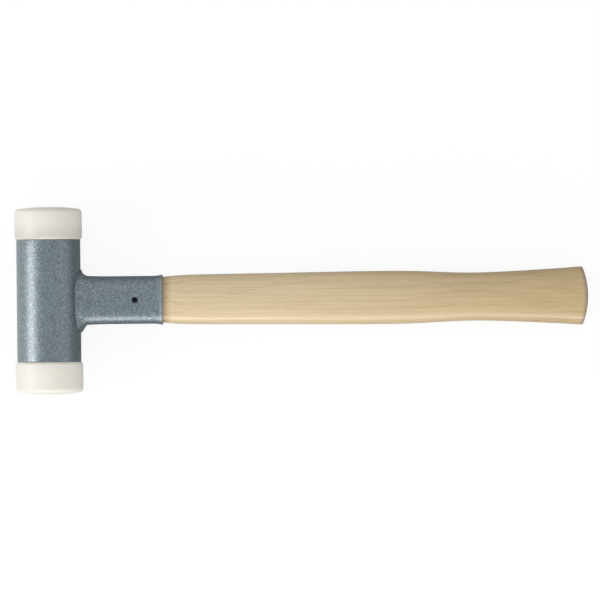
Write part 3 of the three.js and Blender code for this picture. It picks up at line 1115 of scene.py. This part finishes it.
class HAMMER_OT_studio(Operator):
    """The floor under the hammer's three points of rest, the lamps, the world and the camera"""

    bl_idname = "hammer.studio"
    bl_label = "Studio"

    def execute(self, context):
        studio = context.scene.hammer_studio
        context.scene.view_settings.view_transform = "Standard"
        self.floor(studio)
        self.world(context.scene, studio)
        head = HEAD_X, 0, AXIS_Z
        middle = (HEAD_X + HANDLE_HIGH.x) / 2
        grip = middle, 0, AXIS_Z
        for name, power, size, place, target in (
            ("lamp_top", studio.top, (4.4, 4.4), (middle, 0, 2.2), (middle, 0, 0)),
            ("lamp_left", studio.left, (0.44, 0.5), (HEAD_X - 0.8, -0.12, 0.43), head),
            ("lamp_right", studio.right, (1.0, 0.6), (HEAD_X + 0.85, -0.25, 0.5), head),
            ("lamp_far", studio.far, (1.6, 1.0), (middle, 0.7, 0.6), grip),
            ("lamp_near", studio.near, (0.9, 0.15), (middle, -0.5, 0.17), grip),
        ):
            self.lamp(name, power, size, place, target)
        self.camera(context.scene, studio)
        return {"FINISHED"}

    def floor(self, studio):
        """A wide plane that touches both faces and the butt: its tilt is the tangent from butt to faces."""
        butt = butt_rest()
        reach = butt[0] - HEAD_X
        drop = AXIS_Z - butt[1]
        tilt = math.asin(FACE_RADIUS / math.hypot(reach, drop)) - math.atan2(drop, reach)
        across = np.array([-FLOOR_REACH, FLOOR_REACH])
        along = across[:, None]
        height = butt[1] + (along - butt[0]) * math.tan(tilt)
        skin = Skin()
        skin.sheet(skin.put(placed(along, across, height)), around=False)
        floor = skin.finish("studio_floor")
        floor.data.materials.append(floor_material(studio))

    def world(self, scene, studio):
        world = bpy.data.worlds.new("studio_world")
        world.use_nodes = True
        background = world.node_tree.nodes["Background"]
        background.inputs["Color"].default_value = (1, 1, 1, 1)
        background.inputs["Strength"].default_value = studio.ambient
        scene.world = world

    def lamp(self, name, power, size, place, target):
        light = bpy.data.lights.new(name, "AREA")
        light.shape = "RECTANGLE"
        light.size, light.size_y = size
        light.energy = power
        lamp = bpy.data.objects.new(name, light)
        bpy.context.scene.collection.objects.link(lamp)
        lamp.location = place
        look = Vector(target) - Vector(place)
        lamp.rotation_euler = look.to_track_quat("-Z", "Y").to_euler()
        lamp.visible_camera = False

    def camera(self, scene, studio):
        """Straight down: the pixel of the head's middle sets the camera's place, and the scale its lens."""
        data = bpy.data.cameras.new("studio_camera")
        scale = studio.pixels_per_mm / MM
        data.sensor_width = 36
        data.lens = data.sensor_width * studio.distance * scale / studio.pixels
        data.clip_end = 100
        right = (studio.pixels / 2 - studio.head_pixel[0]) / scale
        up = (studio.head_pixel[1] - studio.pixels / 2) / scale
        turn = studio.roll
        camera = bpy.data.objects.new("studio_camera", data)
        camera.location = (
            HEAD_X + right * math.cos(turn) + up * math.sin(turn),
            up * math.cos(turn) - right * math.sin(turn),
            AXIS_Z + studio.distance,
        )
        camera.rotation_euler = (0, 0, -turn)
        scene.collection.objects.link(camera)
        scene.camera = camera


def butt_rest():
    """Place along X and height of the lowest point of the handle's butt."""
    sizes = bpy.context.scene.hammer_handle
    return HANDLE_HIGH.x - sizes.butt_rise - sizes.butt_edge, AXIS_Z - sizes.butt[2] / 2


def floor_material(studio):
    """Pale floor: white to the camera and in reflections, but for a share that keeps the shadow.

    Reflections see it dim on the handle's side of the head, a painted shadow, and its glow
    is painted dark where a piece is close above it. From below it can't be seen.
    """
    white, dim = 1.04, 0.3
    shadow_share = 0.15
    material, nodes = bare_material("Studio floor")
    rays = nodes.add("ShaderNodeLightPath")
    mirrored = nodes.math("MAXIMUM", rays["Is Glossy Ray"], rays["Is Transmission Ray"])
    seen = nodes.math("MAXIMUM", rays["Is Camera Ray"], mirrored)
    plain = nodes.add("ShaderNodeBsdfDiffuse", {"Color": opaque(studio.floor)})[0]
    shaded = nodes.add("ShaderNodeBsdfDiffuse", {"Color": opaque(studio.floor_shaded)})[0]
    open_sky = nodes.add("ShaderNodeAmbientOcclusion", {"Distance": 16 * MM})["AO"]
    along = nodes.parts(nodes.add("ShaderNodeTexCoord")["Object"])["X"]
    # Painted shadow seen in reflections: the glow dims past the head on the handle's side
    shade = nodes.ease(along, HEAD_X - 30 * MM, HEAD_X + 30 * MM, white, dim)
    bright = nodes.math("MAXIMUM", shade, nodes.times(rays["Is Camera Ray"], white))
    # Painted shadow: the glow fades where a piece is close above the floor
    strength = nodes.times(bright, nodes.ease(open_sky, 0.22, 0.38))
    glow = nodes.add("ShaderNodeEmission", {"Color": opaque((1, 1, 1)), "Strength": strength})[0]
    shown = nodes.add("ShaderNodeMixShader", {0: shadow_share, 1: glow, 2: shaded})[0]
    mixed = nodes.add("ShaderNodeMixShader", {0: seen, 1: plain, 2: shown})[0]
    under = nodes.add("ShaderNodeNewGeometry")["Backfacing"]
    clear = nodes.add("ShaderNodeBsdfTransparent")[0]
    one_sided = nodes.add("ShaderNodeMixShader", {0: under, 1: mixed, 2: clear})[0]
    nodes.add("ShaderNodeOutputMaterial", {"Surface": one_sided})
    return material


PIECES = (
    HAMMER_OT_tube,
    HAMMER_OT_faces,
    HAMMER_OT_plates,
    HAMMER_OT_shot,
    HAMMER_OT_socket,
    HAMMER_OT_weld,
    HAMMER_OT_pin,
    HAMMER_OT_handle,
    HAMMER_OT_studio,
)
SETTINGS = {
    "hammer_head": HeadSizes,
    "hammer_socket": SocketSizes,
    "hammer_handle": HandleSizes,
    "hammer_colours": FinishColours,
    "hammer_studio": StudioSettings,
}


class HAMMER_PT_sidebar(Panel):
    """Lists the hammer's pieces and its studio"""

    bl_idname = "HAMMER_PT_sidebar"
    bl_label = "Dead blow hammer"
    bl_space_type = "VIEW_3D"
    bl_region_type = "UI"
    bl_category = "Hammer"

    def draw(self, context):
        for piece in PIECES:
            self.layout.operator(piece.bl_idname)


def register():
    for settings in SETTINGS.values():
        bpy.utils.register_class(settings)
    for name, settings in SETTINGS.items():
        setattr(bpy.types.Scene, name, PointerProperty(type=settings))
    for piece in PIECES:
        bpy.utils.register_class(piece)
    bpy.utils.register_class(HAMMER_PT_sidebar)


def unregister():
    bpy.utils.unregister_class(HAMMER_PT_sidebar)
    for piece in reversed(PIECES):
        bpy.utils.unregister_class(piece)
    for name, settings in SETTINGS.items():
        delattr(bpy.types.Scene, name)
        bpy.utils.unregister_class(settings)


def main():
    register()
    bpy.ops.hammer.studio()
    bpy.ops.hammer.tube()
    bpy.ops.hammer.faces()
    bpy.ops.hammer.plates()
    bpy.ops.hammer.shot()
    bpy.ops.hammer.socket()
    bpy.ops.hammer.weld()
    bpy.ops.hammer.pin()
    bpy.ops.hammer.handle()


if __name__ == "__main__":
    main()
